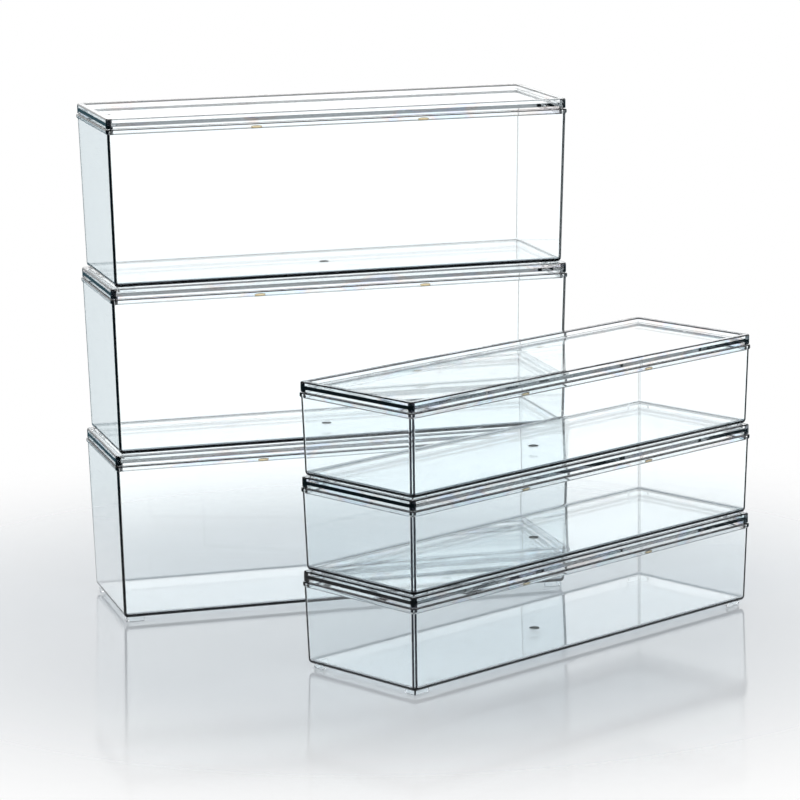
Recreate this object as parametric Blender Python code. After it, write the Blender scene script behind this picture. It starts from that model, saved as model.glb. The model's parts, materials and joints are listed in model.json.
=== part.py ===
"""Clear storage boxes in two stacks, three low boxes in front of three tall ones.

Each box is a drafted tub with a lift-off lid. The lid is a flat panel let into a raised rim, with
a plug skirt below it that drops inside the tub's wall. The L-shaped feet of the next tub stand in
the recess inside the rim, so the boxes stack without sliding. Metres, +Z up. The origin is the
middle of the whole set's footprint, on the surface it stands on.
"""

import math

import bmesh
import bpy
from mathutils import Vector

MM = 0.001

# Outline of every lid, over the outer faces of its rim
LID_LENGTH = 248.0 * MM
LID_WIDTH = 80.4 * MM
LID_CORNER_RADIUS = 2.0 * MM

# Height of a tub from the soles of its feet to the top of its wall
LOW_TUB_HEIGHT = 44.5 * MM
TALL_TUB_HEIGHT = 84.5 * MM
BOXES_IN_A_STACK = 3

# Gap between faces that rest on one another
SEAT_GAP = 0.3 * MM

# Tub wall, floor and the lip round its mouth
WALL = 1.5 * MM
WALL_SETBACK = 0.3 * MM
WALL_DRAFT = math.radians(1.5)
WALL_CORNER_RADIUS = 1.7 * MM
LEAST_CORNER_RADIUS = 0.6 * MM
FLOOR = 1.8 * MM
FLOOR_OUTER_ROUND = 2.5 * MM
FLOOR_INNER_ROUND = 1.0 * MM
LIP_HEIGHT = 2.0 * MM
LIP_PROUD = 0.35 * MM
LIP_SLOPE = 0.6 * MM
EDGE_EASE = 0.25 * MM

# Lid: rim, recess for the next tub's feet, panel and plug skirt
RIM_HEIGHT = 5.2 * MM
RIM_WIDTH = 3.3 * MM
RECESS_DEPTH = 2.3 * MM
PANEL = 1.8 * MM
PLUG_WALL = 1.5 * MM
PLUG_DROP = 3.0 * MM
PLUG_GAP = 0.3 * MM

# Snap bumps on the long sides of the plug skirt
BUMP_LENGTH = 6.0 * MM
BUMP_HEIGHT = 1.2 * MM
BUMP_PROUD = 0.2 * MM
BUMP_SPACING = 90.0 * MM
BUMP_ABOVE_PLUG_END = 1.0 * MM
BUMP_ROOT = 0.5 * MM

# L-shaped foot under each corner of a tub
FOOT_RIB = 1.3 * MM
FOOT_LONG_LEG = 9.5 * MM
FOOT_SHORT_LEG = 6.8 * MM
FOOT_CORNER_EASE = 0.8 * MM
FOOT_SIDE_CLEARANCE = 0.5 * MM
FOOT_SETBACK = 1.2 * MM
STACK_RELIEF = 0.3 * MM
FOOT_ROOT = 0.6 * MM

# Moulding marks: a gate dimple under each tub's floor and a small ejector mark on each lid
GATE_MOUTH_DIAMETER = 5.2 * MM
GATE_END_DIAMETER = 3.6 * MM
GATE_DEPTH = 0.8 * MM
LID_MARK_DIAMETER = 3.0 * MM
LID_MARK_DEPTH = 0.2 * MM
LID_MARK_FROM_END = 9.0 * MM
CUT_OVERRUN = 0.5 * MM

# Where the tall stack stands, seen from the low one
STACK_CLEARANCE = 16.0 * MM
TALL_STACK_SHIFT = -5.4 * MM
TALL_STACK_TURN = math.radians(-27.6)

# Facets of the round forms
CORNER_STEPS = 5
ROUND_STEPS = 4
MARK_SIDES = 16
BUMP_STEPS = 4
SMOOTH_ANGLE = math.radians(35.0)

# Worked out from the sizes above
FOOT_HEIGHT = RECESS_DEPTH + STACK_RELIEF - SEAT_GAP
PLUG_SETBACK = WALL_SETBACK + WALL + PLUG_GAP
LOW_PITCH = LOW_TUB_HEIGHT + SEAT_GAP + RIM_HEIGHT - RECESS_DEPTH + SEAT_GAP
TALL_PITCH = TALL_TUB_HEIGHT + SEAT_GAP + RIM_HEIGHT - RECESS_DEPTH + SEAT_GAP

# Every box is clear moulded polystyrene with a cool cast
CLEAR_COLOUR = (0.86, 0.91, 0.93, 1.0)
CLEAR_ROUGHNESS = 0.03
CLEAR_IOR = 1.59
CLEAR_ALPHA = 0.35


def clear_scene():
    """Remove whatever the file holds."""
    for item in list(bpy.data.objects):
        bpy.data.objects.remove(item)


def clear_plastic(name):
    """A see-through plastic material of the boxes' colour."""
    material = bpy.data.materials.new(name)
    material.use_nodes = True
    shader = material.node_tree.nodes["Principled BSDF"]
    shader.inputs["Base Color"].default_value = CLEAR_COLOUR
    shader.inputs["Roughness"].default_value = CLEAR_ROUGHNESS
    shader.inputs["Metallic"].default_value = 0.0
    shader.inputs["IOR"].default_value = CLEAR_IOR
    shader.inputs["Alpha"].default_value = CLEAR_ALPHA
    return material


def add_ring(bm, inset, z, radius):
    """Vertices round a rounded rectangle that lies inset inside the lid's outline."""
    half_length = LID_LENGTH / 2 - inset
    half_width = LID_WIDTH / 2 - inset
    ring = []
    for corner, (side_x, side_y) in enumerate(((1, 1), (-1, 1), (-1, -1), (1, -1))):
        centre = Vector((side_x * (half_length - radius), side_y * (half_width - radius), z))
        for step in range(CORNER_STEPS + 1):
            turn = (corner + step / CORNER_STEPS) * math.pi / 2
            reach = Vector((math.cos(turn), math.sin(turn), 0)) * radius
            ring.append(bm.verts.new(centre + reach))
    return ring


def skin(bm, rings):
    """Close a chain of rings into one body, with a flat cap over the first and the last."""
    for low, high in zip(rings, rings[1:]):
        for i in range(len(low)):
            j = (i + 1) % len(low)
            bm.faces.new((low[i], low[j], high[j], high[i]))
    bm.faces.new(rings[0])
    bm.faces.new(rings[-1])
    bmesh.ops.recalc_face_normals(bm, faces=bm.faces)


def corner_radius(own_radius, offset):
    """Radius of a corner that runs parallel to one of own_radius, offset inside it."""
    return max(own_radius - offset, LEAST_CORNER_RADIUS)


def quarter_round(radius, steps):
    """Offset and rise along a quarter round that starts flat and ends upright."""
    for step in range(1, steps + 1):
        turn = step / steps * math.pi / 2
        yield radius * (1 - math.sin(turn)), radius * (1 - math.cos(turn))


def wall_inset(tub_height, z):
    """How far the drafted wall's outer face lies inside the lid's outline at height z."""
    return WALL_SETBACK + (tub_height - z) * math.tan(WALL_DRAFT)


def tub_shell(tub_height):
    """The tub without feet: up the outside, over the lip and down the inside to the floor."""
    bm = bmesh.new()
    rings = []

    def station(offset, z):
        inset = wall_inset(tub_height, z) + offset
        rings.append(add_ring(bm, inset, z, corner_radius(WALL_CORNER_RADIUS, offset)))

    def lip_station(proud, z):
        rings.append(add_ring(bm, -proud, z, WALL_CORNER_RADIUS + WALL_SETBACK + proud))

    station(FLOOR_OUTER_ROUND, FOOT_HEIGHT)
    for offset, rise in quarter_round(FLOOR_OUTER_ROUND, ROUND_STEPS):
        station(offset, FOOT_HEIGHT + rise)
    station(0, tub_height - LIP_HEIGHT - LIP_SLOPE)
    lip_station(LIP_PROUD, tub_height - LIP_HEIGHT)
    lip_station(LIP_PROUD, tub_height - EDGE_EASE)
    lip_station(LIP_PROUD - EDGE_EASE, tub_height)
    station(WALL, tub_height)
    floor_top = FOOT_HEIGHT + FLOOR
    for offset, rise in reversed(list(quarter_round(FLOOR_INNER_ROUND, ROUND_STEPS))):
        station(WALL + offset, floor_top + rise)
    station(WALL + FLOOR_INNER_ROUND, floor_top)
    skin(bm, rings)
    return bm


def foot_inset(tub_height):
    """Where a foot's outer face stands: clear of the recess wall and on the tub's floor."""
    inside_recess = RIM_WIDTH + FOOT_SIDE_CLEARANCE
    on_the_floor = wall_inset(tub_height, FOOT_HEIGHT) + FOOT_SETBACK
    return max(inside_recess, on_the_floor)


def foot(tub_height, side_x, side_y):
    """One L-shaped foot, from its sole up into the floor, with an eased outer corner."""
    bm = bmesh.new()
    inset = foot_inset(tub_height)
    outline = (
        (0, 0),
        (FOOT_LONG_LEG, 0),
        (FOOT_LONG_LEG, FOOT_RIB),
        (FOOT_RIB, FOOT_RIB),
        (FOOT_RIB, FOOT_SHORT_LEG),
        (0, FOOT_SHORT_LEG),
    )
    corner_x = LID_LENGTH / 2 - inset
    corner_y = LID_WIDTH / 2 - inset
    verts = [bm.verts.new((side_x * (corner_x - x), side_y * (corner_y - y), 0)) for x, y in outline]
    sole = bm.faces.new(verts)
    grown = bmesh.ops.extrude_face_region(bm, geom=[sole])["geom"]
    top = [item for item in grown if isinstance(item, bmesh.types.BMVert)]
    bmesh.ops.translate(bm, verts=top, vec=(0, 0, FOOT_HEIGHT + FOOT_ROOT))
    upright = [e for e in verts[0].link_edges if e.other_vert(verts[0]) in top]
    bmesh.ops.bevel(
        bm, geom=upright, offset=FOOT_CORNER_EASE, segments=2, profile=0.5, affect="EDGES", material=-1
    )
    bmesh.ops.recalc_face_normals(bm, faces=bm.faces)
    return bm


def gate_dimple():
    """The round hollow that the mould's gate leaves under the middle of the floor."""
    bm = bmesh.new()
    slope = (GATE_MOUTH_DIAMETER - GATE_END_DIAMETER) / 2 / GATE_DEPTH
    bmesh.ops.create_cone(
        bm,
        cap_ends=True,
        segments=MARK_SIDES,
        radius1=GATE_MOUTH_DIAMETER / 2 + CUT_OVERRUN * slope,
        radius2=GATE_END_DIAMETER / 2,
        depth=GATE_DEPTH + CUT_OVERRUN,
    )
    middle = FOOT_HEIGHT + (GATE_DEPTH - CUT_OVERRUN) / 2
    bmesh.ops.translate(bm, verts=bm.verts, vec=(0, 0, middle))
    return bm


def lid_shell():
    """The lid: from under the panel, round the plug skirt and the rim, into the recess."""
    bm = bmesh.new()
    rings = []

    def station(inset, z):
        rings.append(add_ring(bm, inset, z, corner_radius(LID_CORNER_RADIUS, inset)))

    panel_top = RIM_HEIGHT - RECESS_DEPTH
    plug_draft = PLUG_DROP * math.tan(WALL_DRAFT)
    plug_inner = PLUG_SETBACK + PLUG_WALL + plug_draft
    station(plug_inner, panel_top - PANEL)
    station(plug_inner, -PLUG_DROP)
    station(PLUG_SETBACK + plug_draft + EDGE_EASE, -PLUG_DROP)
    station(PLUG_SETBACK + plug_draft, EDGE_EASE - PLUG_DROP)
    station(PLUG_SETBACK, 0)
    station(EDGE_EASE, 0)
    station(0, EDGE_EASE)
    station(0, RIM_HEIGHT - EDGE_EASE)
    station(EDGE_EASE, RIM_HEIGHT)
    station(RIM_WIDTH, RIM_HEIGHT)
    station(RIM_WIDTH, panel_top)
    skin(bm, rings)
    return bm


def snap_bump(side_x, side_y):
    """A small half-round rib near the lower edge of the plug skirt's long side."""
    bm = bmesh.new()
    height_of_middle = BUMP_ABOVE_PLUG_END - PLUG_DROP
    face_inset = PLUG_SETBACK - height_of_middle * math.tan(WALL_DRAFT)
    face_y = LID_WIDTH / 2 - face_inset
    start_x = side_x * BUMP_SPACING / 2 - BUMP_LENGTH / 2
    profile = [(face_y - BUMP_ROOT, -BUMP_HEIGHT / 2), (face_y - BUMP_ROOT, BUMP_HEIGHT / 2)]
    for step in range(BUMP_STEPS + 1):
        turn = math.pi / 2 - step / BUMP_STEPS * math.pi
        profile.append((face_y + BUMP_PROUD * math.cos(turn), BUMP_HEIGHT / 2 * math.sin(turn)))
    verts = [bm.verts.new((start_x, side_y * y, height_of_middle + z)) for y, z in profile]
    end = bm.faces.new(verts)
    grown = bmesh.ops.extrude_face_region(bm, geom=[end])["geom"]
    far = [item for item in grown if isinstance(item, bmesh.types.BMVert)]
    bmesh.ops.translate(bm, verts=far, vec=(BUMP_LENGTH, 0, 0))
    bmesh.ops.recalc_face_normals(bm, faces=bm.faces)
    return bm


def lid_mark():
    """The shallow round mark that a mould pin leaves in the panel, near one end."""
    bm = bmesh.new()
    bmesh.ops.create_cone(
        bm,
        cap_ends=True,
        segments=MARK_SIDES,
        radius1=LID_MARK_DIAMETER / 2,
        radius2=LID_MARK_DIAMETER / 2,
        depth=LID_MARK_DEPTH + CUT_OVERRUN,
    )
    panel_top = RIM_HEIGHT - RECESS_DEPTH
    middle = panel_top + (CUT_OVERRUN - LID_MARK_DEPTH) / 2
    from_middle = LID_LENGTH / 2 - LID_MARK_FROM_END
    bmesh.ops.translate(bm, verts=bm.verts, vec=(from_middle, 0, middle))
    return bm


def guide(bm, name):
    """An object that only shapes another one."""
    mesh = bpy.data.meshes.new(name)
    bm.to_mesh(mesh)
    bm.free()
    item = bpy.data.objects.new(name, mesh)
    item.hide_render = True
    item.display_type = "WIRE"
    bpy.context.scene.collection.objects.link(item)
    return item


def moulded(name, shell, additions, hollows, material):
    """One mesh out of a shell, what is added to it and what is cut out of it."""
    body = guide(shell, name + "_shell")
    shapers = [(guide(bm, name + "_addition"), "UNION") for bm in additions]
    shapers += [(guide(bm, name + "_hollow"), "DIFFERENCE") for bm in hollows]
    for shaper, operation in shapers:
        boolean = body.modifiers.new(shaper.name, "BOOLEAN")
        boolean.operation = operation
        boolean.solver = "EXACT"
        boolean.object = shaper
    evaluated = body.evaluated_get(bpy.context.evaluated_depsgraph_get())
    mesh = bpy.data.meshes.new_from_object(evaluated)
    for item in [body] + [shaper for shaper, operation in shapers]:
        bpy.data.objects.remove(item)
    mesh.name = name
    mesh.materials.clear()
    mesh.materials.append(material)
    mesh.shade_smooth()
    mesh.set_sharp_from_angle(angle=SMOOTH_ANGLE)
    return mesh


def tub_mesh(name, tub_height):
    """A whole tub with its four feet and its gate dimple."""
    corners = [(side_x, side_y) for side_x in (1, -1) for side_y in (1, -1)]
    feet = [foot(tub_height, side_x, side_y) for side_x, side_y in corners]
    return moulded(name, tub_shell(tub_height), feet, [gate_dimple()], clear_plastic(name + "_clear"))


def lid_mesh():
    """A whole lid, the same one for the low tubs and the tall ones."""
    sides = [(side_x, side_y) for side_x in (1, -1) for side_y in (1, -1)]
    bumps = [snap_bump(side_x, side_y) for side_x, side_y in sides]
    return moulded("lid", lid_shell(), bumps, [lid_mark()], clear_plastic("lid_clear"))


def place(name, mesh, stack, z, half_turn):
    """Stand one piece on the stack's middle line; its sliding axis is its own Z."""
    item = bpy.data.objects.new(name, mesh)
    bpy.context.scene.collection.objects.link(item)
    item.parent = stack
    item.location = (0, 0, z)
    item.rotation_euler = (0, 0, math.pi if half_turn else 0)


def build_stack(kind, mesh, lid, tub_height, pitch, middle, turn, half_turn):
    """Three tubs and their lids, one on another, on an empty that carries the stack."""
    stack = bpy.data.objects.new(kind + "_stack", None)
    bpy.context.scene.collection.objects.link(stack)
    stack.location = middle
    stack.rotation_euler = (0, 0, turn)
    for level in range(BOXES_IN_A_STACK):
        number = str(level + 1)
        foot_z = level * pitch
        place(kind + "_tub_" + number, mesh, stack, foot_z, False)
        place(kind + "_lid_" + number, lid, stack, foot_z + tub_height + SEAT_GAP, half_turn)


def stack_reach(turn):
    """Half the extent of a turned stack along X and along Y, over the lips of its tubs."""
    half = Vector((LID_LENGTH / 2 + LIP_PROUD, LID_WIDTH / 2 + LIP_PROUD))
    rounding = (LID_CORNER_RADIUS + LIP_PROUD) * (abs(math.cos(turn)) + abs(math.sin(turn)) - 1)
    reach_x = half.x * abs(math.cos(turn)) + half.y * abs(math.sin(turn)) - rounding
    reach_y = half.x * abs(math.sin(turn)) + half.y * abs(math.cos(turn)) - rounding
    return Vector((reach_x, reach_y))


def stack_middles():
    """Where both stacks stand, with the middle of their common footprint at the origin."""
    low_reach = stack_reach(0)
    tall_reach = stack_reach(TALL_STACK_TURN)
    tall = Vector((TALL_STACK_SHIFT, low_reach.y + STACK_CLEARANCE + tall_reach.y))
    highest = Vector((max(low_reach.x, tall.x + tall_reach.x), tall.y + tall_reach.y))
    lowest = Vector((min(-low_reach.x, tall.x - tall_reach.x), -low_reach.y))
    middle = (highest + lowest) / 2
    return (-middle).to_3d(), (tall - middle).to_3d()


def build():
    """Model the whole set."""
    clear_scene()
    low_tub = tub_mesh("low_tub", LOW_TUB_HEIGHT)
    tall_tub = tub_mesh("tall_tub", TALL_TUB_HEIGHT)
    lid = lid_mesh()
    low_middle, tall_middle = stack_middles()
    build_stack("low", low_tub, lid, LOW_TUB_HEIGHT, LOW_PITCH, low_middle, 0, False)
    build_stack("tall", tall_tub, lid, TALL_TUB_HEIGHT, TALL_PITCH, tall_middle, TALL_STACK_TURN, True)


build()
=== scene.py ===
# %% [markdown]
# Clear stacking storage boxes: low ones and tall ones on one footprint, each with a lift-off lid.
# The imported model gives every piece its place. This lesson gives the pieces their looks: thin
# moulded walls with rounded corners, and a clear plastic that bends and darkens light as the real
# one does.

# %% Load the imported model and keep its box
import json
import math

import bmesh
import bpy
from mathutils import Matrix, Vector


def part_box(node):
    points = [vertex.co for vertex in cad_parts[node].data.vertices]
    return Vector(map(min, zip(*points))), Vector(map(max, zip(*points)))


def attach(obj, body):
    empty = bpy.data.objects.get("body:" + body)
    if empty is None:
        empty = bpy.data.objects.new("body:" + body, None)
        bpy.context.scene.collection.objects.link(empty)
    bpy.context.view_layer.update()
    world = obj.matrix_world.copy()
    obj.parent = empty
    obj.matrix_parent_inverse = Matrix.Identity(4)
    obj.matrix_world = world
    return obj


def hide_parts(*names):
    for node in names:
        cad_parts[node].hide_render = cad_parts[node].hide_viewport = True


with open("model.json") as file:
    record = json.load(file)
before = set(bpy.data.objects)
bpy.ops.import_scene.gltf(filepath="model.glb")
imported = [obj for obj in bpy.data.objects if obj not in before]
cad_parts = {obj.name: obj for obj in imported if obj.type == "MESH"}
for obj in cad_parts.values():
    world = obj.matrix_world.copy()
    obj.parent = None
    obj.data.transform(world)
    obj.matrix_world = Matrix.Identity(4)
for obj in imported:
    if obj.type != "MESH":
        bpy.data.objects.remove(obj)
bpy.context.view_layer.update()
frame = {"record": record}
MM = 0.001

# %% [markdown]
# The camera stands where the photograph was taken from. Its place was worked out from the corners
# of both stacks: a long lens, almost two metres away, looking down by eleven degrees. A matrix
# built from its right, up and back directions is easier to check than three turning angles.

# %% Camera
CAMERA_PLACE = Vector((-1.24639, -1.31183, 0.4736))
CAMERA_HEADING = math.radians(43.716)
CAMERA_PITCH = math.radians(11.345)
CAMERA_ROLL = math.radians(-0.739)
CAMERA_LENS = 156.87
SENSOR_WIDTH = 36.0
CLIP_START = 0.05
CLIP_END = 30.0


def add_object(name, data):
    """A new object in the scene, at the origin."""
    item = bpy.data.objects.new(name, data)
    bpy.context.scene.collection.objects.link(item)
    return item


def add_camera():
    """The photograph's viewpoint, with nothing out of focus."""
    level = Vector((math.sin(CAMERA_HEADING), math.cos(CAMERA_HEADING), 0))
    forward = level * math.cos(CAMERA_PITCH) - Vector((0, 0, math.sin(CAMERA_PITCH)))
    flat_right = Vector((level.y, -level.x, 0))
    flat_up = flat_right.cross(forward)
    right = flat_right * math.cos(CAMERA_ROLL) + flat_up * math.sin(CAMERA_ROLL)
    up = right.cross(forward)
    data = bpy.data.cameras.new("camera")
    data.lens = CAMERA_LENS
    data.sensor_width = SENSOR_WIDTH
    data.clip_start = CLIP_START
    data.clip_end = CLIP_END
    camera = add_object("camera", data)
    turn = Matrix((right, up, -forward)).transposed().to_4x4()
    camera.matrix_world = Matrix.Translation(CAMERA_PLACE) @ turn
    bpy.context.scene.camera = camera


add_camera()
print("camera is", round(CAMERA_PLACE.length, 2), "m from the middle of the set")

# %% [markdown]
# The world and every finish below are trees of shader nodes. Most of a tree is plain arithmetic, so
# these helpers add one node at a time and hand back its result. A tree then reads like a formula,
# and not like a list of wires.

# %% Helpers for node trees
def link(tree, source, target):
    """Join two sockets."""
    tree.links.new(source, target)


def feed(tree, value, target):
    """Give a socket what another one puts out, or a plain number or colour."""
    if isinstance(value, bpy.types.NodeSocket):
        link(tree, value, target)
    else:
        target.default_value = value


def compute(tree, operation, first, second):
    """The result of a Math node on two sockets or numbers."""
    node = tree.nodes.new("ShaderNodeMath")
    node.operation = operation
    feed(tree, first, node.inputs[0])
    feed(tree, second, node.inputs[1])
    return node.outputs["Value"]


def ramp(tree, value, start, end, first=0.0, last=1.0, easing="SMOOTHSTEP"):
    """The first level up to the start, the last one from the end on, and a slope between."""
    node = tree.nodes.new("ShaderNodeMapRange")
    node.interpolation_type = easing
    node.inputs["From Min"].default_value = start
    node.inputs["From Max"].default_value = end
    node.inputs["To Min"].default_value = first
    node.inputs["To Max"].default_value = last
    link(tree, value, node.inputs["Value"])
    return node.outputs["Result"]


def mix_colours(tree, factor, at_zero, at_one):
    """One colour where the factor is 0, another where it is 1, and their blend between."""
    node = tree.nodes.new("ShaderNodeMix")
    node.data_type = "RGBA"
    link(tree, factor, node.inputs["Factor"])
    feed(tree, at_zero, node.inputs["A"])
    feed(tree, at_one, node.inputs["B"])
    return node.outputs["Result"]


def mix_shaders(tree, factor, at_zero, at_one):
    """One shader where the factor is 0, another where it is 1, and their blend between."""
    node = tree.nodes.new("ShaderNodeMixShader")
    link(tree, factor, node.inputs["Fac"])
    link(tree, at_zero, node.inputs[1])
    link(tree, at_one, node.inputs[2])
    return node.outputs["Shader"]


print("node helpers ready in Blender", bpy.app.version_string)

# %% [markdown]
# Clear plastic has almost no colour of its own, so what lies round it makes its looks. This world
# answers each kind of ray in its own way. The camera sees plain white. A ray that has gone through a
# clear wall, or bounced off one, sees a horizon brighter than white, which makes up for the light
# that each surface takes. It sees a dark ceiling too, like that of an unlit studio: the rounded rims
# bend the eye up there, and that draws their dark lines. Below the horizon a ray that passed through
# still sees a bright backdrop, and a ray that was mirrored last sees a cool, dark ground. A ray that
# comes from a dull surface, such as the floor, gets one plain level, so what isn't clear is lit softly.

# %% World
WHITE = (1.0, 1.0, 1.0, 1.0)
BRIGHT_HORIZON = (1.4, 1.4, 1.4, 1.0)
BACKDROP = (1.24, 1.24, 1.24, 1.0)
GROUND_COLOUR = (0.10, 0.20, 0.25, 1.0)
GROUND_START = 0.03
GROUND_END = -0.06
CEILING_START = 0.24
CEILING_END = 0.46
CEILING_GREY = 0.03
AMBIENT_LEVEL = 0.62


def background(tree, colour, strength):
    """The light of a world that has this colour and strength."""
    node = tree.nodes.new("ShaderNodeBackground")
    feed(tree, colour, node.inputs["Color"])
    feed(tree, strength, node.inputs["Strength"])
    return node.outputs["Background"]


def add_world():
    """White to the camera, graded for bent and mirrored rays, and plain for all others."""
    world = bpy.data.worlds.new("studio")
    bpy.context.scene.world = world
    world.use_nodes = True
    tree = world.node_tree
    tree.nodes.clear()
    direction = tree.nodes.new("ShaderNodeTexCoord").outputs["Generated"]
    split = tree.nodes.new("ShaderNodeSeparateXYZ")
    link(tree, direction, split.inputs["Vector"])
    height = split.outputs["Z"]
    path = tree.nodes.new("ShaderNodeLightPath").outputs
    below = mix_colours(tree, path["Is Reflection Ray"], BACKDROP, GROUND_COLOUR)
    ground = ramp(tree, height, GROUND_START, GROUND_END)
    around = mix_colours(tree, ground, BRIGHT_HORIZON, below)
    ceiling = ramp(tree, height, CEILING_START, CEILING_END, 1.0, CEILING_GREY)
    bent = compute(tree, "MAXIMUM", path["Is Glossy Ray"], path["Is Transmission Ray"])
    never_dull = compute(tree, "SUBTRACT", bent, path["Diffuse Depth"])
    by_sight = compute(tree, "MAXIMUM", never_dull, 0.0)
    plain = background(tree, WHITE, AMBIENT_LEVEL)
    by_bend = mix_shaders(tree, by_sight, plain, background(tree, around, ceiling))
    by_eye = mix_shaders(tree, path["Is Camera Ray"], by_bend, background(tree, WHITE, 1.0))
    output = tree.nodes.new("ShaderNodeOutputWorld")
    link(tree, by_eye, output.inputs["Surface"])


add_world()
print("world:", bpy.context.scene.world.name)

# %% [markdown]
# A stack is many clear walls deep, and each wall is two surfaces, so a ray needs many bounces before
# it is through. With too few, the places where rims overlap would turn black.

# %% Colour and bounces
MOST_BOUNCES = 36
CLEAR_BOUNCES = 32
GLOSSY_BOUNCES = 8
DULL_BOUNCES = 3
OPEN_BOUNCES = 24

scene = bpy.context.scene
scene.view_settings.view_transform = "Standard"
scene.cycles.max_bounces = MOST_BOUNCES
scene.cycles.transmission_bounces = CLEAR_BOUNCES
scene.cycles.glossy_bounces = GLOSSY_BOUNCES
scene.cycles.diffuse_bounces = DULL_BOUNCES
scene.cycles.transparent_max_bounces = OPEN_BOUNCES
print("bounces through clear walls:", CLEAR_BOUNCES)

# %% [markdown]
# Two large soft lamps light the set, and the camera itself doesn't see them: one high on the left,
# and a weaker one on the right. They give the floor its soft shadows and put long highlights on the
# rounded edges.

# %% Lamps
LAMPS = {
    "key": {"place": (-1.9, -0.6, 2.6), "size": 1.6, "power": 34.0},
    "fill": {"place": (2.2, -1.6, 2.2), "size": 1.8, "power": 16.0},
}
LAMP_AIM = Vector((0.0, 0.0, 0.12))


def add_lamp(name, place, size, power):
    """A square soft lamp that looks at the set."""
    data = bpy.data.lights.new(name, "AREA")
    data.shape = "SQUARE"
    data.size = size
    data.energy = power
    lamp = add_object(name, data)
    turn = (LAMP_AIM - Vector(place)).to_track_quat("-Z", "Y").to_matrix().to_4x4()
    lamp.matrix_world = Matrix.Translation(place) @ turn
    lamp.visible_camera = False


for lamp_name, values in LAMPS.items():
    add_lamp(lamp_name, **values)
print("lamps:", ", ".join(LAMPS))

# %% [markdown]
# The floor is a pale, polished sheet, and its gloss mirrors the boxes faintly. Away from the set its
# material turns into a transparent one, so it melts into the white world with no line.

# %% Floor
FLOOR_RADIUS = 0.55
FLOOR_SEGMENTS = 96
FLOOR_DROP = 0.15 * MM
FLOOR_COLOUR = (0.60, 0.63, 0.66, 1.0)
FLOOR_ROUGHNESS = 0.08
FLOOR_IOR = 1.45
FADE_START = 0.17
FADE_END = 0.42


def new_material(name):
    """A material, its node tree and its Principled shader."""
    material = bpy.data.materials.new(name)
    material.use_nodes = True
    return material, material.node_tree, material.node_tree.nodes["Principled BSDF"]


def on_object(tree):
    """The place of each point in the object's own coordinates."""
    return tree.nodes.new("ShaderNodeTexCoord").outputs["Object"]


def pale_floor():
    """Polished and pale near the set, and transparent far from it."""
    material, tree, shader = new_material("pale_floor")
    shader.inputs["Base Color"].default_value = FLOOR_COLOUR
    shader.inputs["Roughness"].default_value = FLOOR_ROUGHNESS
    shader.inputs["IOR"].default_value = FLOOR_IOR
    reach = tree.nodes.new("ShaderNodeVectorMath")
    reach.operation = "LENGTH"
    link(tree, on_object(tree), reach.inputs[0])
    fade = ramp(tree, reach.outputs["Value"], FADE_START, FADE_END)
    gone = tree.nodes.new("ShaderNodeBsdfTransparent")
    surface = mix_shaders(tree, fade, shader.outputs["BSDF"], gone.outputs["BSDF"])
    link(tree, surface, tree.nodes["Material Output"].inputs["Surface"])
    return material


def as_object(bm, name):
    """Turn a bmesh into a new object and free it."""
    mesh = bpy.data.meshes.new(name)
    bm.to_mesh(mesh)
    bm.free()
    return add_object(name, mesh)


def add_floor():
    """A round sheet just under the feet."""
    bm = bmesh.new()
    bmesh.ops.create_circle(bm, cap_ends=True, segments=FLOOR_SEGMENTS, radius=FLOOR_RADIUS)
    bmesh.ops.translate(bm, verts=bm.verts, vec=(0, 0, -FLOOR_DROP))
    floor = as_object(bm, "floor")
    floor.data.materials.append(pale_floor())


add_floor()
print("floor radius in m:", FLOOR_RADIUS)

# %% [markdown]
# Polystyrene from a polished mould is clear, hard and glossy. Two small things tell it from a
# perfect sheet: its walls are very slightly wavy, and handling leaves hair scratches. Tubs and lids
# share both, so they are made once, as a node group that gives a height and a scratch mask. Both
# come from noise. The waves are slow and smooth. The scratches are noise squeezed along one
# direction into fine streaks, of which only the highest peaks are kept.

# %% Shared effect: moulded surface
WAVE_SCALE = 30.0
WAVE_DETAIL = 1.0
SCRATCH_SCALE = 60.0
SCRATCH_DETAIL = 2.0
SCRATCH_TURN = (0.4, 0.9, 0.3)
SCRATCH_SQUEEZE = (1.0, 1.0, 22.0)
SCRATCH_BEGINS = 0.69
SCRATCH_FULL = 0.74


def new_group(name, inputs, outputs):
    """A node group, the sockets that bring its named inputs and those that take its outputs."""
    group = bpy.data.node_groups.new(name, "ShaderNodeTree")
    for label, default in inputs.items():
        socket = group.interface.new_socket(label, in_out="INPUT", socket_type="NodeSocketFloat")
        socket.default_value = default
    for label, kind in outputs.items():
        group.interface.new_socket(label, in_out="OUTPUT", socket_type="NodeSocket" + kind)
    source = group.nodes.new("NodeGroupInput")
    result = group.nodes.new("NodeGroupOutput")
    return group, source.outputs, result.inputs


def mapped(tree, squeeze, turn=(0.0, 0.0, 0.0)):
    """Object coordinates, squeezed and turned."""
    node = tree.nodes.new("ShaderNodeMapping")
    node.inputs["Rotation"].default_value = turn
    node.inputs["Scale"].default_value = squeeze
    link(tree, on_object(tree), node.inputs["Vector"])
    return node.outputs["Vector"]


def noise(tree, place, scale, detail, distortion=0.0):
    """A noise over places, at a scale that is a number or a socket."""
    node = tree.nodes.new("ShaderNodeTexNoise")
    node.inputs["Detail"].default_value = detail
    node.inputs["Distortion"].default_value = distortion
    link(tree, place, node.inputs["Vector"])
    feed(tree, scale, node.inputs["Scale"])
    return node.outputs["Fac"]


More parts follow.
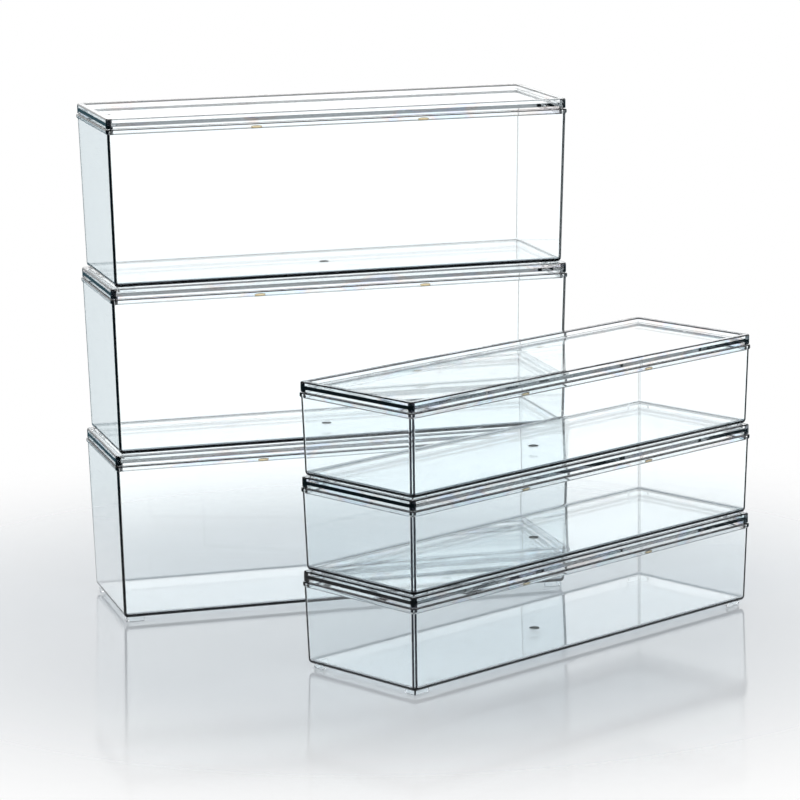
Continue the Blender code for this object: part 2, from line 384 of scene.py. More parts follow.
def moulded_surface():
    """Node group: slow waves in the wall and sparse hair scratches."""
    inputs = {
        "Wave Scale": WAVE_SCALE, "Wave Height": 0.0,
        "Scratch Scale": SCRATCH_SCALE, "Scratch Amount": 0.0,
    }
    group, source, result = new_group("moulded_surface", inputs, {"Height": "Float", "Scratches": "Float"})
    wave = noise(group, on_object(group), source["Wave Scale"], WAVE_DETAIL)
    link(group, compute(group, "MULTIPLY", wave, source["Wave Height"]), result["Height"])
    streaks = mapped(group, SCRATCH_SQUEEZE, SCRATCH_TURN)
    hair = noise(group, streaks, source["Scratch Scale"], SCRATCH_DETAIL)
    sparse = ramp(group, hair, SCRATCH_BEGINS, SCRATCH_FULL, easing="LINEAR")
    link(group, compute(group, "MULTIPLY", sparse, source["Scratch Amount"]), result["Scratches"])
    return group


surface_group = moulded_surface()
print("node group:", surface_group.name)

# %% [markdown]
# Stress that freezes into a moulding makes the plastic split light into faint rainbow glints. Here
# the glints are painted light: a colour ramp over a slow noise gives the painted patches, most of
# the noise falls on white, and only its high parts reach the colours. The strength then thins them
# to a hint over the plastic's own clear tint.

# %% Shared effect: painted stress glints
STRESS_GLINT_COLOURS = (
    (0.00, (1.00, 1.00, 1.00, 1.0)),
    (0.54, (1.00, 1.00, 1.00, 1.0)),
    (0.58, (0.86, 0.36, 0.16, 1.0)),
    (0.62, (0.40, 0.45, 1.00, 1.0)),
    (0.66, (0.40, 0.90, 1.00, 1.0)),
    (0.71, (1.00, 1.00, 1.00, 1.0)),
)
CLEAR_TINT = (0.968, 0.992, 1.0, 1.0)
PATCH_SCALE = 26.0
PATCH_DETAIL = 1.5
PATCH_DISTORTION = 0.8
PATCH_SQUEEZE = (1.0, 1.0, 3.0)


def moulding_stress_glints():
    """Node group: the clear tint, with painted rainbow glints where stress is frozen in."""
    inputs = {"Patch Scale": PATCH_SCALE, "Strength": 0.0}
    group, source, result = new_group("moulding_stress_glints", inputs, {"Tint": "Color"})
    place = mapped(group, PATCH_SQUEEZE)
    patch = noise(group, place, source["Patch Scale"], PATCH_DETAIL, PATCH_DISTORTION)
    rainbow = group.nodes.new("ShaderNodeValToRGB")
    elements = rainbow.color_ramp.elements
    elements[0].position, elements[0].color = STRESS_GLINT_COLOURS[0]
    elements[1].position, elements[1].color = STRESS_GLINT_COLOURS[-1]
    for position, colour in STRESS_GLINT_COLOURS[1:-1]:
        elements.new(position).color = colour
    link(group, patch, rainbow.inputs["Fac"])
    tint = mix_colours(group, source["Strength"], CLEAR_TINT, rainbow.outputs["Color"])
    link(group, tint, result["Tint"])
    return group


stress_glint_group = moulding_stress_glints()
print("node group:", stress_glint_group.name)

# %% [markdown]
# The dark outlines of a clear box come from its turned surfaces: where a wall rounds into the next
# one, the plastic is thickest and bends the eye furthest. Bent light alone leaves these lines paler
# here than on the real boxes, so the last effect finds the places from the surface's own direction,
# and painted shade darkens the plastic's colour there: the outlines are partly bent light and partly
# painted shade. The direction is first turned back by the angle at which the stack stands, and a
# face attribute keeps the inner faces out. The group gives five masks:
# Lying Edge is 1 on rounds that lean, such as those of the lip and the rim. Upright Corner is 1 on
# the rounds between two upright walls. Split Corner is the same, but 0 again at the middle of the
# round, where a tub's corner lets a thin bright line through. Side is 1 on upright walls, and Long
# Side is 1 on what faces across the box and not along it.

# %% Shared effect: turned edges for painted shade
OUTER = "outer"
CROWN = "crown"
BUMP = "bump"
FLAT_ENDS = 0.997
EDGE_BEGINS = 0.965
MIDDLE_BEGINS = 0.785
MIDDLE_ENDS = 0.735
LEAN_BEGINS = 0.05
LEAN_ENDS = 0.14
EDGE_MASKS = ("Lying Edge", "Upright Corner", "Split Corner", "Side", "Long Side")


def marked(tree, name):
    """The number that a face attribute gives each face."""
    node = tree.nodes.new("ShaderNodeAttribute")
    node.attribute_name = name
    return node.outputs["Fac"]


def turned_back(group, angle):
    """The size of the surface direction's three parts, along the box's own axes."""
    direction = group.nodes.new("ShaderNodeNewGeometry").outputs["Normal"]
    back = group.nodes.new("ShaderNodeVectorRotate")
    back.rotation_type = "Z_AXIS"
    back.invert = True
    link(group, direction, back.inputs["Vector"])
    link(group, angle, back.inputs["Angle"])
    unsigned = group.nodes.new("ShaderNodeVectorMath")
    unsigned.operation = "ABSOLUTE"
    link(group, back.outputs["Vector"], unsigned.inputs[0])
    split = group.nodes.new("ShaderNodeSeparateXYZ")
    link(group, unsigned.outputs["Vector"], split.inputs["Vector"])
    return split.outputs["X"], split.outputs["Y"], split.outputs["Z"]


def turned_edges():
    """Node group: masks, mostly for the painted shade on the rounds between flat walls."""
    outputs = {label: "Float" for label in EDGE_MASKS}
    group, source, result = new_group("turned_edges", {"Stack Turn": 0.0}, outputs)
    along, across, upward = turned_back(group, source["Stack Turn"])
    outer = marked(group, OUTER)
    sideways = compute(group, "MAXIMUM", along, across)
    flatness = compute(group, "MAXIMUM", sideways, upward)
    turned = compute(group, "MULTIPLY", ramp(group, flatness, FLAT_ENDS, EDGE_BEGINS), outer)
    leaning = ramp(group, upward, LEAN_BEGINS, LEAN_ENDS)
    standing = compute(group, "SUBTRACT", 1.0, leaning)
    corner = compute(group, "MULTIPLY", turned, standing)
    off_middle = ramp(group, flatness, MIDDLE_ENDS, MIDDLE_BEGINS)
    link(group, compute(group, "MULTIPLY", turned, leaning), result["Lying Edge"])
    link(group, corner, result["Upright Corner"])
    link(group, compute(group, "MULTIPLY", corner, off_middle), result["Split Corner"])
    link(group, compute(group, "MULTIPLY", sideways, outer), result["Side"])
    link(group, compute(group, "GREATER_THAN", across, along), result["Long Side"])
    return group


edge_group = turned_edges()
print("node group:", edge_group.name, "with masks", ", ".join(EDGE_MASKS))

# %% [markdown]
# The masks paint shade into the plastic's colour, but not by the same amount everywhere. A far edge
# is seen through the plastic, from its inner side, where Backfacing is 1, and gets a painted shade of
# its own. The crown of a rim gets painted shade only there. The mirror image of an edge is fainter
# than the edge. Tubs and lids differ, and so do the two stacks, because one stands behind the other.
# So each shade is a named value, and one function puts them together. Each part's finish also says
# how wavy and how scratched its walls are, and how strong the painted rainbow glints on them are.

# %% Finishes and painted dark edges
MIRROR_IMAGE_SHADE = 0.35
FINISHES_AND_SHADES = {
    "tub": {
        "wave_height": 0.03, "scratch_amount": 0.10, "corner_mask": "Split Corner",
        "far_edge": 0.15, "side_stress_glint": 0.01,
    },
    "lid": {
        "wave_height": 0.01, "scratch_amount": 0.14, "corner_mask": "Upright Corner",
        "far_edge": 0.2, "side_stress_glint": 0.35,
    },
}
SHADES = {
    "low_tub": {"near_corner": 1.0, "far_corner": 0.55, "long_edge": 1.0, "far_crown": 1.0},
    "low_lid": {"near_corner": 1.0, "far_corner": 0.25, "long_edge": 1.0, "far_crown": 1.0},
    "tall_tub": {"near_corner": 0.6, "far_corner": 0.85, "long_edge": 1.0, "far_crown": 1.0},
    "tall_lid": {"near_corner": 1.0, "far_corner": 0.25, "long_edge": 0.7, "far_crown": 0.95},
}


def between(tree, chooser, at_zero, at_one):
    """One number where the chooser is 0 and another where it is 1."""
    return ramp(tree, chooser, 0.0, 1.0, at_zero, at_one, easing="LINEAR")


def edge_painted_shade(tree, masks, path, finish_and_shade, shades):
    """How much painted shade each place gets: 0 for none, 1 for full."""
    from_inside = tree.nodes.new("ShaderNodeNewGeometry").outputs["Backfacing"]
    corner_shade = between(tree, from_inside, shades["near_corner"], shades["far_corner"])
    corner = compute(tree, "MULTIPLY", masks[finish_and_shade["corner_mask"]], corner_shade)
    edge_shade = between(tree, from_inside, 1.0, finish_and_shade["far_edge"])
    long_shade = between(tree, masks["Long Side"], 1.0, shades["long_edge"])
    both_shades = compute(tree, "MULTIPLY", edge_shade, long_shade)
    lying = compute(tree, "MULTIPLY", masks["Lying Edge"], both_shades)
    crown_shade = between(tree, from_inside, 0.0, shades["far_crown"])
    crown = compute(tree, "MULTIPLY", marked(tree, CROWN), crown_shade)
    dark = compute(tree, "MAXIMUM", compute(tree, "MAXIMUM", corner, lying), crown)
    mirror_shade = between(tree, path["Is Reflection Ray"], 1.0, MIRROR_IMAGE_SHADE)
    return compute(tree, "MULTIPLY", dark, mirror_shade)


print("shades for:", ", ".join(SHADES))

# %% [markdown]
# The plastic itself is one Principled shader with full transmission and the refractive index of
# polystyrene. Most of its tint is not painted on: it is a volume that takes a little light for each
# millimetre. Straight through a thin wall that hardly shows, but a rim is seen through the whole
# width of the panel, so it goes dark. Specular Tint dims only the mirror image that looks straight
# back and leaves the glancing one bright. On its way to a lamp, light meets a transparent shader
# instead, so the boxes cast the pale shadows of clear plastic. Its base colour carries painted light:
# near black painted shade on the dark outlines, and a painted amber glint on the snap bumps.

# %% Clear plastic
POLYSTYRENE_IOR = 1.59
STRAIGHT_SHEEN = (0.35, 0.35, 0.35, 1.0)
ABSORBED_PER_METRE = 21.0
ABSORPTION_COLOUR = (0.15, 0.20, 0.225, 1.0)
# Painted shade: the near-black colour that the dark outlines are painted with.
PAINTED_EDGE_SHADE = (0.002, 0.002, 0.003, 1.0)
# Painted glint: the amber colour painted on the snap bumps.
BUMP_GLINT_COLOUR = (0.62, 0.40, 0.16, 1.0)
SHADOW_TINT = (0.965, 0.97, 0.975, 1.0)
STACK_TURNS = {"low": 0.0, "tall": math.radians(-27.6)}


def place_group(tree, group, values):
    """Put a node group in a tree with its own values."""
    node = tree.nodes.new("ShaderNodeGroup")
    node.node_tree = group
    for label, value in values.items():
        feed(tree, value, node.inputs[label])
    return node.outputs


def clear_plastic(name, turn, finish_and_shade, shades):
    """Clear moulded polystyrene for one kind of piece, with its painted shade and glints."""
    material, tree, shader = new_material(name + "_plastic")
    shader.inputs["Transmission Weight"].default_value = 1.0
    shader.inputs["IOR"].default_value = POLYSTYRENE_IOR
    shader.inputs["Specular Tint"].default_value = STRAIGHT_SHEEN
    relief = {"Wave Height": finish_and_shade["wave_height"], "Scratch Amount": finish_and_shade["scratch_amount"]}
    surface = place_group(tree, surface_group, relief)
    link(tree, surface["Scratches"], shader.inputs["Roughness"])
    bump = tree.nodes.new("ShaderNodeBump")
    bump.inputs["Strength"].default_value = 1.0
    bump.inputs["Distance"].default_value = MM
    link(tree, surface["Height"], bump.inputs["Height"])
    link(tree, bump.outputs["Normal"], shader.inputs["Normal"])
    masks = place_group(tree, edge_group, {"Stack Turn": turn})
    # Painted rainbow glints, on upright walls.
    strength = compute(tree, "MULTIPLY", masks["Side"], finish_and_shade["side_stress_glint"])
    tint = place_group(tree, stress_glint_group, {"Strength": strength})["Tint"]
    path = tree.nodes.new("ShaderNodeLightPath").outputs
    # Painted glint: the snap bumps are tinted amber.
    bump_glinted = mix_colours(tree, marked(tree, BUMP), tint, BUMP_GLINT_COLOUR)
    # Painted shade: the base colour goes near black where the edge masks say, fainter in mirror images.
    dark = edge_painted_shade(tree, masks, path, finish_and_shade, shades)
    link(tree, mix_colours(tree, dark, bump_glinted, PAINTED_EDGE_SHADE), shader.inputs["Base Color"])
    inside = tree.nodes.new("ShaderNodeVolumeAbsorption")
    inside.inputs["Color"].default_value = ABSORPTION_COLOUR
    inside.inputs["Density"].default_value = ABSORBED_PER_METRE
    to_lamp = tree.nodes.new("ShaderNodeBsdfTransparent")
    to_lamp.inputs["Color"].default_value = SHADOW_TINT
    seen = mix_shaders(tree, path["Is Shadow Ray"], shader.outputs["BSDF"], to_lamp.outputs["BSDF"])
    output = tree.nodes["Material Output"]
    link(tree, seen, output.inputs["Surface"])
    link(tree, inside.outputs["Volume"], output.inputs["Volume"])
    return material


plastics = {}
for stack, stack_turn in STACK_TURNS.items():
    for part, part_finish_and_shade in FINISHES_AND_SHADES.items():
        sort = stack + "_" + part
        plastics[sort] = clear_plastic(sort, stack_turn, part_finish_and_shade, SHADES[sort])
print("materials:", ", ".join(plastic.name for plastic in plastics.values()))

# %% [markdown]
# The plastic came into the mould under the middle of each tub, and where its stem was broken off
# there is a small torn mark, dull and dark through the clear floor. Its fine grain is the mark's own,
# but its darkness is painted shade: smooth plastic lets too much light through for that, so the mark
# is opaque, two dark greys mixed by a fine noise.

# %% Gate scar with painted shade
# Painted shade: both greys are dark so that the mark reads as shade through the floor.
GATE_SHADE_DARK = (0.012, 0.015, 0.014, 1.0)
GATE_SHADE_PALE = (0.05, 0.06, 0.056, 1.0)
GATE_ROUGHNESS = 0.6
GATE_GRAIN_SCALE = 900.0
GATE_GRAIN_DETAIL = 2.0


def shaded_gate_scar():
    """The torn, dull plastic of the mark under a tub, painted dark as shade."""
    material, tree, shader = new_material("shaded_gate_scar")
    shader.inputs["Roughness"].default_value = GATE_ROUGHNESS
    torn = noise(tree, on_object(tree), GATE_GRAIN_SCALE, GATE_GRAIN_DETAIL)
    link(tree, mix_colours(tree, torn, GATE_SHADE_DARK, GATE_SHADE_PALE), shader.inputs["Base Color"])
    return material


gate_shade_plastic = shaded_gate_scar()
print("material:", gate_shade_plastic.name)

# %% [markdown]
# Every section of these mouldings is a rounded rectangle. A square face with a vertex bevel makes
# the first one. Each next one is an extrusion of it whose four corners are scaled to their new
# radius and moved out or in, so a wall can lean, step and round over as the mould does. The first
# and the last section keep their faces as flat caps.

# %% Sections and skins
CORNER_SEGMENTS = 10
SIDES = [(side_x, side_y) for side_x in (1, -1) for side_y in (1, -1)]


def corner_centre(section, side_x, side_y):
    """Where the arc of one corner has its centre."""
    half_length, half_width, z, radius = section
    return Vector((side_x * (half_length - radius), side_y * (half_width - radius), z))


def first_section(bm, section):
    """A square face, scaled to a rectangle and rounded at its corners."""
    half_length, half_width, z, radius = section
    verts = bmesh.ops.create_grid(bm, x_segments=1, y_segments=1, size=1.0)["verts"]
    bmesh.ops.scale(bm, verts=verts, vec=(half_length, half_width, 1))
    bmesh.ops.translate(bm, verts=verts, vec=(0, 0, z))
    rounded = bmesh.ops.bevel(
        bm, geom=verts, offset=radius, offset_type="OFFSET", segments=CORNER_SEGMENTS,
        profile=0.5, affect="VERTICES", material=-1,
    )
    return rounded["verts"][0].link_faces[0]


def next_section(bm, face, before, after):
    """Extrude the open end and bring its corners to the next section."""
    region = [face, *face.edges, *face.verts]
    grown = bmesh.ops.extrude_face_region(bm, geom=region)["geom"]
    face = next(item for item in grown if isinstance(item, bmesh.types.BMFace))
    ratio = after[-1] / before[-1]
    for side_x, side_y in SIDES:
        corner = [v for v in face.verts if v.co.x * side_x > 0 and v.co.y * side_y > 0]
        old = corner_centre(before, side_x, side_y)
        new = corner_centre(after, side_x, side_y)
        bmesh.ops.scale(bm, verts=corner, vec=(ratio, ratio, 1), space=Matrix.Translation(-old))
        bmesh.ops.translate(bm, verts=corner, vec=new - old)
    return face


def skin(sections):
    """One closed shell through all the sections."""
    bm = bmesh.new()
    face = first_section(bm, sections[0])
    for before, after in zip(sections, sections[1:]):
        face = next_section(bm, face, before, after)
    bmesh.ops.recalc_face_normals(bm, faces=bm.faces)
    return bm


def quarter(radius, steps):
    """Offset and rise along a quarter round that starts flat and ends upright."""
    for step in range(1, steps + 1):
        turn = step / steps * math.pi / 2
        yield radius * (1 - math.sin(turn)), radius * (1 - math.cos(turn))


print("one section has", 4 * (CORNER_SEGMENTS + 1), "points")

# %% [markdown]
# The overall sizes come from the imported nodes, so the pieces stay where the model has them. Only the
# small sizes of the sections are named here: walls, rounds, rim and plug skirt. The crown is the
# band round the top of the rim, where painted shade draws the far line of a lid.

# %% Sizes of the boxes
lid_low, lid_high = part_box("low_lid_1")
LID_HALF_LENGTH = (lid_high.x - lid_low.x) / 2
LID_HALF_WIDTH = (lid_high.y - lid_low.y) / 2
RIM_HEIGHT = 5.2 * MM
RIM_WIDTH = 3.3 * MM
RIM_ROUND = 0.45 * MM
RIM_TOP_ROUND = 0.7 * MM
CROWN_HEIGHT = 1.15 * MM
RECESS_DEPTH = 2.3 * MM
PANEL = 1.8 * MM
PLUG_WALL = 1.5 * MM
PLUG_DROP = 3.0 * MM
SEAT_GAP = 0.3 * MM
WALL = 1.5 * MM
WALL_SETBACK = 0.3 * MM
WALL_DRAFT = math.radians(1.5)
WALL_CORNERS = {"low": 2.3 * MM, "tall": 1.7 * MM}
LID_CORNER = 3.0 * MM
LEAST_CORNER = 0.2 * MM
FOOT_HEIGHT = RECESS_DEPTH
FLOOR_THICKNESS = 1.8 * MM
FLOOR_TOP = FOOT_HEIGHT + FLOOR_THICKNESS
FLOOR_OUTER_ROUND = 2.5 * MM
FLOOR_INNER_ROUND = 1.0 * MM
LIP_HEIGHT = 2.0 * MM
LIP_PROUD = 0.35 * MM
LIP_SLOPE = 0.6 * MM
LIP_TOP_ROUND = 0.5 * MM
EDGE_ROUND = 0.25 * MM
FINE_ROUND = 0.12 * MM
ROUND_STEPS = 9
EDGE_STEPS = 3
print("lid in mm:", round(2 * LID_HALF_LENGTH / MM, 1), "x", round(2 * LID_HALF_WIDTH / MM, 1))

# %% [markdown]
# The tub is skinned from the flat under its floor, round the outside and over the lip of its mouth,
# and down the inside to the floor again. Its walls lean out by a degree and a half, so that it
# leaves its mould. The lip stands a little proud of the wall, and its edges are eased, because no
# mould makes a sharp one.

# %% Tub shell
def wall_inset(tub_height, z):
    """How far the leaning wall's outer face lies inside the lid's outline at height z."""
    return WALL_SETBACK + (tub_height - z) * math.tan(WALL_DRAFT)


def section_inside(inset, z, radius):
    """A section that lies inset inside the lid's outline."""
    return LID_HALF_LENGTH - inset, LID_HALF_WIDTH - inset, z, max(radius, LEAST_CORNER)


def tub_shell(tub_height, wall_corner):
    """The tub without its feet, standing on z = 0."""
    sections = []

    def wall_ring(offset, z):
        inset = wall_inset(tub_height, z) + offset
        sections.append(section_inside(inset, z, wall_corner - offset))

    def lip_ring(proud, z):
        sections.append(section_inside(-proud, z, wall_corner + WALL_SETBACK + proud))

    wall_ring(FLOOR_OUTER_ROUND, FOOT_HEIGHT)
    for offset, rise in quarter(FLOOR_OUTER_ROUND, ROUND_STEPS):
        wall_ring(offset, FOOT_HEIGHT + rise)
    wall_ring(0, tub_height - LIP_HEIGHT - LIP_SLOPE)
    for offset, rise in quarter(EDGE_ROUND, EDGE_STEPS):
        lip_ring(LIP_PROUD - offset, tub_height - LIP_HEIGHT + rise)
    for offset, rise in reversed(list(quarter(LIP_TOP_ROUND, EDGE_STEPS))):
        lip_ring(LIP_PROUD - offset, tub_height - rise)
    lip_ring(LIP_PROUD - LIP_TOP_ROUND, tub_height)
    wall_ring(WALL - EDGE_ROUND, tub_height)
    for offset, rise in quarter(EDGE_ROUND, EDGE_STEPS):
        wall_ring(WALL - EDGE_ROUND + rise, tub_height - EDGE_ROUND + offset)
    for offset, rise in reversed(list(quarter(FLOOR_INNER_ROUND, ROUND_STEPS))):
        wall_ring(WALL + offset, FLOOR_TOP + rise)
    wall_ring(WALL + FLOOR_INNER_ROUND, FLOOR_TOP)
    return skin(sections)


print("a tub's wall stands back by", round(wall_inset(LIP_HEIGHT, 0) / MM, 2), "mm under its lip")

# %% [markdown]
# The lid is skinned the same way. It starts on the underside of its panel, goes down the inside of
# the plug skirt and up its outside, out under the rim, over the rim, and down into the recess to the
# top of the panel. The rim round the recess keeps the next tub from sliding off.

# %% Lid shell
PANEL_TOP = RIM_HEIGHT - RECESS_DEPTH
PLUG_SETBACK = WALL_SETBACK + WALL + SEAT_GAP


def lid_shell():
    """The lid, with the underside of its rim on z = 0."""
    sections = []

    def ring(inset, z):
        sections.append(section_inside(inset, z, LID_CORNER - inset))

    plug_draft = PLUG_DROP * math.tan(WALL_DRAFT)
    plug_inner = PLUG_SETBACK + PLUG_WALL + plug_draft
    ring(plug_inner + FINE_ROUND, PANEL_TOP - PANEL)
    for offset, rise in quarter(FINE_ROUND, EDGE_STEPS):
        ring(plug_inner + offset, PANEL_TOP - PANEL - rise)
    for offset, rise in reversed(list(quarter(FINE_ROUND, EDGE_STEPS))):
        ring(plug_inner - offset, rise - PLUG_DROP)
    ring(plug_inner - FINE_ROUND, -PLUG_DROP)
    ring(PLUG_SETBACK + plug_draft + FINE_ROUND, -PLUG_DROP)
    for offset, rise in quarter(FINE_ROUND, EDGE_STEPS):
        ring(PLUG_SETBACK + plug_draft + offset, rise - PLUG_DROP)
    ring(PLUG_SETBACK, 0)
    ring(RIM_ROUND, 0)
    for offset, rise in quarter(RIM_ROUND, EDGE_STEPS):
        ring(offset, rise)
    ring(0, RIM_HEIGHT - CROWN_HEIGHT)
    for offset, rise in reversed(list(quarter(RIM_TOP_ROUND, ROUND_STEPS))):
        ring(offset, RIM_HEIGHT - rise)
    ring(RIM_TOP_ROUND, RIM_HEIGHT)
    ring(RIM_WIDTH - FINE_ROUND, RIM_HEIGHT)
    for offset, rise in quarter(FINE_ROUND, EDGE_STEPS):
        ring(RIM_WIDTH - FINE_ROUND + rise, RIM_HEIGHT - FINE_ROUND + offset)
    for offset, rise in reversed(list(quarter(FINE_ROUND, EDGE_STEPS))):
        ring(RIM_WIDTH + offset, PANEL_TOP + rise)
    ring(RIM_WIDTH + FINE_ROUND, PANEL_TOP)
    return skin(sections)


print("plug skirt stands back by", round(PLUG_SETBACK / MM, 2), "mm")

# %% [markdown]
# Four L-shaped feet stand under each tub. Each is an L drawn as one face and extruded up into the
# floor, with a rounded outer corner and eased edges round its sole.

# %% Feet
FOOT_RIB = 1.3 * MM
FOOT_LONG_LEG = 9.5 * MM
FOOT_SHORT_LEG = 6.8 * MM
FOOT_CORNER = 0.8 * MM
FOOT_CORNER_STEPS = 5
FOOT_EDGE = 0.15 * MM
FOOT_EDGE_STEPS = 2
FOOT_SIDE_CLEARANCE = 0.5 * MM
FOOT_SETBACK = 1.2 * MM
FOOT_ROOT = 0.6 * MM


def foot(tub_height, side_x, side_y):
    """One L-shaped foot with its sole on z = 0."""
    bm = bmesh.new()
    inset = max(RIM_WIDTH + FOOT_SIDE_CLEARANCE, wall_inset(tub_height, FOOT_HEIGHT) + FOOT_SETBACK)
    corner = (LID_HALF_LENGTH - inset, LID_HALF_WIDTH - inset)
    outline = (
        (0, 0), (FOOT_LONG_LEG, 0), (FOOT_LONG_LEG, FOOT_RIB),
        (FOOT_RIB, FOOT_RIB), (FOOT_RIB, FOOT_SHORT_LEG), (0, FOOT_SHORT_LEG),
    )
    verts = [bm.verts.new((side_x * (corner[0] - x), side_y * (corner[1] - y), 0)) for x, y in outline]
    sole = bm.faces.new(verts)
    grown = bmesh.ops.extrude_face_region(bm, geom=[sole])["geom"]
    top = [item for item in grown if isinstance(item, bmesh.types.BMVert)]
    bmesh.ops.translate(bm, verts=top, vec=(0, 0, FOOT_HEIGHT + FOOT_ROOT))
    upright = [edge for edge in verts[0].link_edges if edge.other_vert(verts[0]) in top]
    bmesh.ops.bevel(
        bm, geom=upright, offset=FOOT_CORNER, segments=FOOT_CORNER_STEPS, profile=0.5,
        affect="EDGES", material=-1,
    )
    low_edges = [edge for edge in bm.edges if max(v.co.z for v in edge.verts) < FOOT_ROOT]
    bmesh.ops.bevel(
        bm, geom=low_edges, offset=FOOT_EDGE, segments=FOOT_EDGE_STEPS, profile=0.5,
        affect="EDGES", material=-1,
    )
    bmesh.ops.recalc_face_normals(bm, faces=bm.faces)
    return bm


print("foot legs in mm:", round(FOOT_LONG_LEG / MM, 1), round(FOOT_SHORT_LEG / MM, 1))

# %% [markdown]
# Moulding leaves marks of its own. The gate mark is a small tapered dimple under the middle of a
# tub's floor, with a dull spot on the floor's inner face above it. A shallow round mark near one end
# of each lid is where a pin pushed it out. Each of them is cut by a cone or a cylinder.

# %% Moulding marks
GATE_MOUTH = 5.2 * MM
GATE_END = 3.6 * MM
GATE_DEPTH = 0.8 * MM
GATE_SPOT_DEPTH = 0.1 * MM
LID_MARK = 3.0 * MM
LID_MARK_DEPTH = 0.2 * MM
LID_MARK_FROM_END = 9.0 * MM
CUT_OVERRUN = 0.5 * MM
MARK_SIDES = 40


def round_cutter(radius_low, radius_high, low, high):
    """A cone or cylinder on the Z axis, from low to high."""
    bm = bmesh.new()
    bmesh.ops.create_cone(
        bm, cap_ends=True, segments=MARK_SIDES, radius1=radius_low, radius2=radius_high, depth=high - low
    )
    bmesh.ops.translate(bm, verts=bm.verts, vec=(0, 0, (low + high) / 2))
    return bm


def gate_dimple():
    """The tapered hollow under the middle of a tub's floor."""
    slope = (GATE_MOUTH - GATE_END) / 2 / GATE_DEPTH
    mouth = GATE_MOUTH / 2 + CUT_OVERRUN * slope
    return round_cutter(mouth, GATE_END / 2, FOOT_HEIGHT - CUT_OVERRUN, FOOT_HEIGHT + GATE_DEPTH)


def gate_spot():
    """The shallow dull spot on the inner face of the floor."""
    radius = GATE_MOUTH / 2
    return round_cutter(radius, radius, FLOOR_TOP - GATE_SPOT_DEPTH, FLOOR_TOP + CUT_OVERRUN)


def lid_mark():
    """The shallow pin mark near one end of a lid."""
    radius = LID_MARK / 2
    bm = round_cutter(radius, radius, PANEL_TOP - LID_MARK_DEPTH, PANEL_TOP + CUT_OVERRUN)
    bmesh.ops.translate(bm, verts=bm.verts, vec=(LID_HALF_LENGTH - LID_MARK_FROM_END, 0, 0))
    return bm


print("gate mark in mm:", round(GATE_MOUTH / MM, 1), "lid mark in mm:", round(LID_MARK / MM, 1))

# %% [markdown]
# Snap bumps on the long sides of the plug skirt click the lid into the tub. Each is a low, long
# swelling: a sphere, stretched along the skirt, flattened, and sunk halfway into it.

# %% Snap bumps
BUMP_LENGTH = 6.0 * MM
BUMP_HEIGHT = 1.2 * MM
BUMP_PROUD = 0.2 * MM
BUMP_SPACING = 90.0 * MM
BUMP_ABOVE_PLUG_END = 1.0 * MM
BUMP_SEGMENTS = 24
BUMP_RINGS = 12


def snap_bump(side_x, side_y):
    """One bump on the plug skirt."""
    bm = bmesh.new()
    bmesh.ops.create_uvsphere(bm, u_segments=BUMP_SEGMENTS, v_segments=BUMP_RINGS, radius=1.0)
    middle_z = BUMP_ABOVE_PLUG_END - PLUG_DROP
    face_inset = PLUG_SETBACK - middle_z * math.tan(WALL_DRAFT)
    bmesh.ops.scale(bm, verts=bm.verts, vec=(BUMP_LENGTH / 2, BUMP_PROUD, BUMP_HEIGHT / 2))
    place = (side_x * BUMP_SPACING / 2, side_y * (LID_HALF_WIDTH - face_inset), middle_z)
    bmesh.ops.translate(bm, verts=bm.verts, vec=place)
    return bm


print("snap bumps on a lid:", len(SIDES))

# %% [markdown]
# The plastic's masks for painted shade and glints need to know more than a direction, so each face
# gets three numbers. Outer is 1 on faces that look away from the box's axis, and less under the lip,
# whose lower edge gets a fainter painted dark line. Crown is 1 on outer faces near the top of a lid's
# rim, where painted shade draws the far line. Bump is 1 on the snap bumps, which get a painted glint.
# Faces close to a tub's axis belong to its gate mark and get the second material, painted dark as shade.

# %% Marks on faces
LIP_SHADE = 0.3
GATE_MARGIN = 0.15 * MM


def on_bump(point):
    """True for a point of the plug skirt between the two ends of a snap bump."""
    from_middle = abs(abs(point.x) - BUMP_SPACING / 2)
    return point.z < 0 and from_middle < BUMP_LENGTH / 2 + FINE_ROUND


def mark_faces(mesh, crown_low, lip_low):
    """Give each face its masks for painted shade and glints, and its material. Lips lie above lip_low, and
    crowns above crown_low.
    """
    outer = mesh.attributes.new(OUTER, "FLOAT", "FACE")
    crown = mesh.attributes.new(CROWN, "FLOAT", "FACE")
    bump = mesh.attributes.new(BUMP, "FLOAT", "FACE")
    for face in mesh.polygons:
        points = [mesh.vertices[index].co for index in face.vertices]
        from_axis = max(point.xy.length for point in points)
        faces_out = face.center.xy.dot(face.normal.xy) > 0
        under_lip = face.normal.z < 0 and lip_low < face.center.z
        outer.data[face.index].value = float(faces_out) * (LIP_SHADE if under_lip else 1.0)
        crown.data[face.index].value = float(faces_out and face.center.z > crown_low)
        bump.data[face.index].value = float(all(on_bump(point) for point in points))
        face.material_index = int(from_axis < GATE_MOUTH / 2 + GATE_MARGIN)


print("face marks:", OUTER, CROWN, BUMP)

# %% [markdown]
# A moulding is one shell with its additions joined on and its hollows cut out, by exact Booleans.
# Edges sharper than the limit stay sharp and all others are shaded smooth, so the rounds look round.

# %% Mouldings
SHARP_ANGLE = math.radians(32.0)


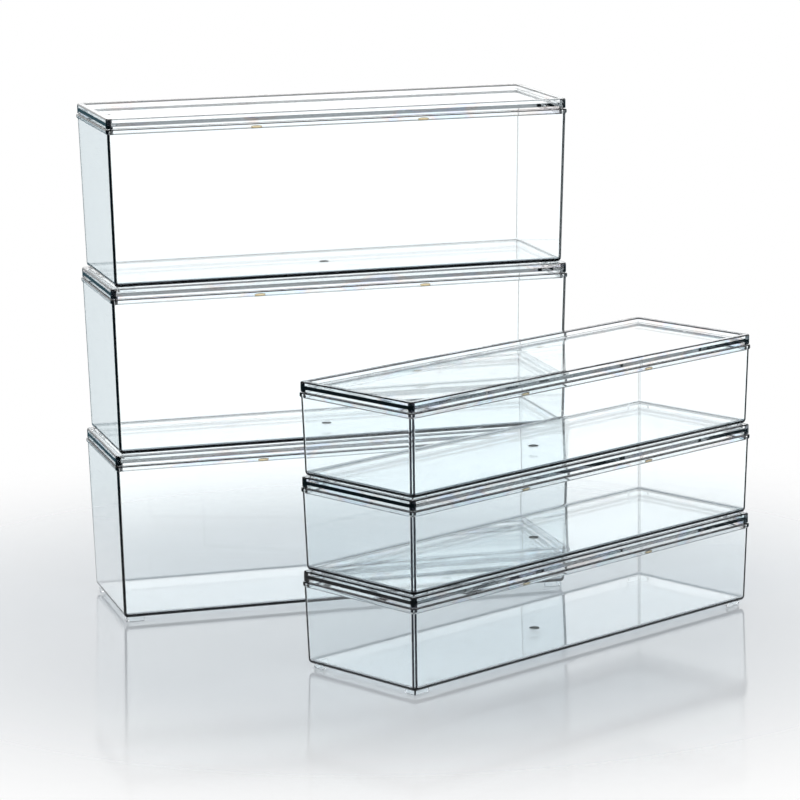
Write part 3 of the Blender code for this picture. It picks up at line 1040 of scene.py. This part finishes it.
def moulding(name, shell, additions, hollows, crown_low, lip_low):
    """One mesh, centred on the box's own axis."""
    body = as_object(shell, name)
    shapers = [(as_object(bm, name + "_addition"), "UNION") for bm in additions]
    shapers += [(as_object(bm, name + "_hollow"), "DIFFERENCE") for bm in hollows]
    for shaper, operation in shapers:
        boolean = body.modifiers.new(shaper.name, "BOOLEAN")
        boolean.operation = operation
        boolean.solver = "EXACT"
        boolean.object = shaper
    evaluated = body.evaluated_get(bpy.context.evaluated_depsgraph_get())
    mesh = bpy.data.meshes.new_from_object(evaluated)
    for item in [body] + [shaper for shaper, operation in shapers]:
        bpy.data.objects.remove(item)
    mesh.name = name
    mesh.materials.clear()
    mesh.shade_smooth()
    mesh.set_sharp_from_angle(angle=SHARP_ANGLE)
    mark_faces(mesh, crown_low, lip_low)
    return mesh


def tub_mesh(kind):
    """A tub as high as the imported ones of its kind."""
    low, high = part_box(kind + "_tub_1")
    height = high.z - low.z
    feet = [foot(height, side_x, side_y) for side_x, side_y in SIDES]
    shell = tub_shell(height, WALL_CORNERS[kind])
    marks = [gate_dimple(), gate_spot()]
    return moulding(kind + "_tub_mesh", shell, feet, marks, height, height - 2 * LIP_HEIGHT)


def whole_lid_mesh():
    """A lid with its snap bumps and its pin mark."""
    bumps = [snap_bump(side_x, side_y) for side_x, side_y in SIDES]
    crown_low = RIM_HEIGHT - CROWN_HEIGHT
    return moulding("lid_mesh", lid_shell(), bumps, [lid_mark()], crown_low, RIM_HEIGHT)


tub_meshes = {kind: tub_mesh(kind) for kind in WALL_CORNERS}
lid_mesh = whole_lid_mesh()
print("faces:", [len(mesh.polygons) for mesh in (*tub_meshes.values(), lid_mesh)])

# %% [markdown]
# Each piece is a copy of its moulding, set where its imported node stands: on the middle of the
# node's box and at its height, turned with its stack. The tall stack's lids are put on the other way
# round, which shows in their pin marks. Each piece rides on the same body as its node and replaces
# it. Flat walls have to look flat when light bends through them, so a Weighted Normal modifier lets
# the large faces set the direction at their edges.

# %% Pieces
LEVELS = ("1", "2", "3")
LARGE_FACES_FIRST = 100
LID_TURNS = {"low": 0.0, "tall": math.pi}


def body_of_node(node):
    """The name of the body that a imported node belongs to."""
    return next(body for body, nodes in frame["record"]["behaviour"]["bodies"].items() if node in nodes)


def place_piece(node, source, materials, turn, base):
    """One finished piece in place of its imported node."""
    low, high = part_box(node)
    mesh = source.copy()
    mesh.name = node + "_moulding"
    middle = (low + high) / 2
    place = Matrix.Translation((middle.x, middle.y, low.z + base))
    mesh.transform(place @ Matrix.Rotation(turn, 4, "Z"))
    for material in materials:
        mesh.materials.append(material)
    piece = add_object(mesh.name, mesh)
    weighted = piece.modifiers.new("flat_walls", "WEIGHTED_NORMAL")
    weighted.weight = LARGE_FACES_FIRST
    weighted.keep_sharp = True
    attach(piece, body_of_node(node))
    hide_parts(node)


def place_stack(kind):
    """Three tubs and three lids."""
    tub_materials = (plastics[kind + "_tub"], gate_shade_plastic)
    lid_materials = (plastics[kind + "_lid"],)
    turn = STACK_TURNS[kind]
    lid_turn = turn + LID_TURNS[kind]
    for level in LEVELS:
        place_piece(kind + "_tub_" + level, tub_meshes[kind], tub_materials, turn, 0)
        place_piece(kind + "_lid_" + level, lid_mesh, lid_materials, lid_turn, PLUG_DROP)


for kind in STACK_TURNS:
    place_stack(kind)
for spare in (*tub_meshes.values(), lid_mesh):
    bpy.data.meshes.remove(spare)
